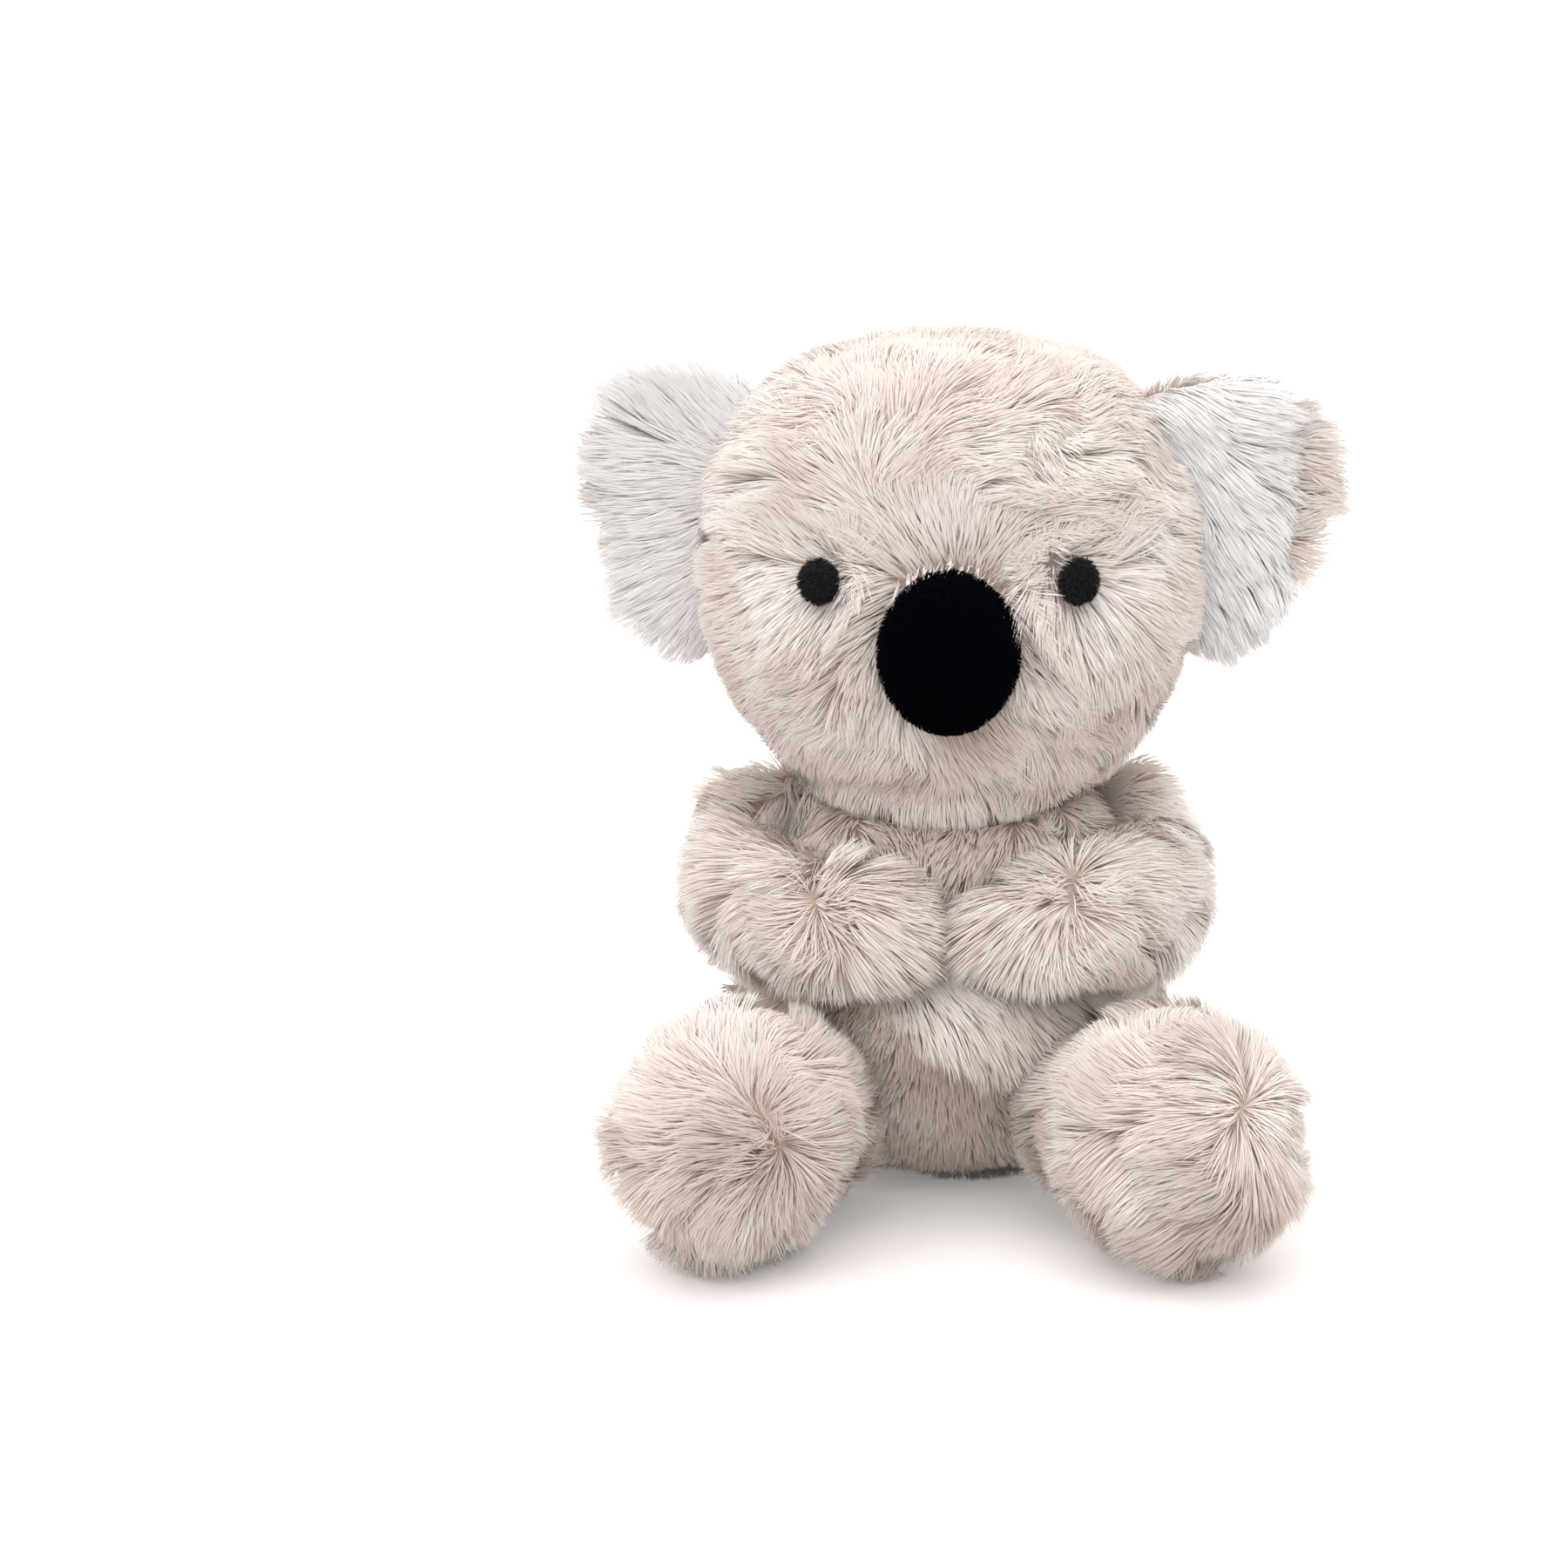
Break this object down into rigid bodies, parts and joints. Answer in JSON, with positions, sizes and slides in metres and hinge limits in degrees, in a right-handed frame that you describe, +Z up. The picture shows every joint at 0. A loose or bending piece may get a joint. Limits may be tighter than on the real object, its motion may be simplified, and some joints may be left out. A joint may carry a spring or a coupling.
{
  "type": "plush pet toy",
  "caption": "Seated long-pile plush koala toy for a dog, with a stuffed head, arms and legs, round ears, a padded velour nose and a squeaker inside",
  "frame": {"origin": "centre of the flat face under the torso that the toy sits on", "axes": "+Z up; -Y towards the toy's face and feet, so +X is the toy's own left side"},
  "size_m": [0.1686, 0.1342, 0.1915],
  "materials": {
    "cream_plush": "matte",
    "white_plush": "matte",
    "black_velour": "matte",
    "charcoal_felt": "matte",
    "fibre_fill": "matte",
    "squeaker_plastic": "satin",
    "reed_plastic": "satin"
  },
  "bodies": {
    "torso": {"torso_cover": "cream_plush", "torso_filling": "fibre_fill", "squeaker_base": "squeaker_plastic", "squeaker_reed": "reed_plastic", "squeaker_bellows": "squeaker_plastic"},
    "head": {"head_cover": "cream_plush", "head_filling": "fibre_fill", "nose_cover": "black_velour", "nose_padding": "fibre_fill", "eye_left": "charcoal_felt", "eye_right": "charcoal_felt"},
    "ear_left": {"ear_left_front_panel": "white_plush", "ear_left_back_panel": "cream_plush"},
    "ear_right": {"ear_right_front_panel": "white_plush", "ear_right_back_panel": "cream_plush"},
    "arm_left": {"arm_left_cover": "cream_plush", "arm_left_filling": "fibre_fill"},
    "arm_right": {"arm_right_cover": "cream_plush", "arm_right_filling": "fibre_fill"},
    "leg_left": {"leg_left_cover": "cream_plush", "leg_left_filling": "fibre_fill"},
    "leg_right": {"leg_right_cover": "cream_plush", "leg_right_filling": "fibre_fill"},
    "squeaker_cap": {"squeaker_cap": "squeaker_plastic"}
  },
  "joints": [
    {"name": "head_turn", "type": "hinge", "parent": "torso", "child": "head", "pos_m": [0, -0.006, 0.139], "axis": [0, 0, 1], "range_deg": [-30, 30], "stiffness_Nm_per_rad": 0.25},
    {"name": "arm_left_open", "type": "hinge", "parent": "torso", "child": "arm_left", "pos_m": [0.0395, 0.0125, 0.072], "axis": [-0.2425, 0, 0.9702], "range_deg": [0, 55], "stiffness_Nm_per_rad": 0.05},
    {"name": "arm_right_open", "type": "hinge", "parent": "torso", "child": "arm_right", "pos_m": [-0.0395, 0.0125, 0.072], "axis": [-0.2425, 0, -0.9702], "range_deg": [0, 55], "stiffness_Nm_per_rad": 0.05},
    {"name": "leg_left_spread", "type": "hinge", "parent": "torso", "child": "leg_left", "pos_m": [0.0415, -0.0205, 0.025], "axis": [0, 0, 1], "range_deg": [0, 25], "stiffness_Nm_per_rad": 0.12},
    {"name": "leg_right_spread", "type": "hinge", "parent": "torso", "child": "leg_right", "pos_m": [-0.0415, -0.0205, 0.025], "axis": [0, 0, -1], "range_deg": [0, 25], "stiffness_Nm_per_rad": 0.12},
    {"name": "ear_left_fold", "type": "hinge", "parent": "head", "child": "ear_left", "pos_m": [0.0515, -0.0115, 0.147], "axis": [0.14, 0.05, -0.9889], "range_deg": [0, 40], "stiffness_Nm_per_rad": 0.02},
    {"name": "ear_right_fold", "type": "hinge", "parent": "head", "child": "ear_right", "pos_m": [-0.0515, -0.0115, 0.147], "axis": [0.14, -0.05, 0.9889], "range_deg": [0, 40], "stiffness_Nm_per_rad": 0.02},
    {"name": "squeaker_press", "type": "slide", "parent": "torso", "child": "squeaker_cap", "axis": [0, 0, -1], "range_m": [0, 0.005], "stiffness_N_per_m": 400, "deforming": ["squeaker_bellows"]}
  ]
}
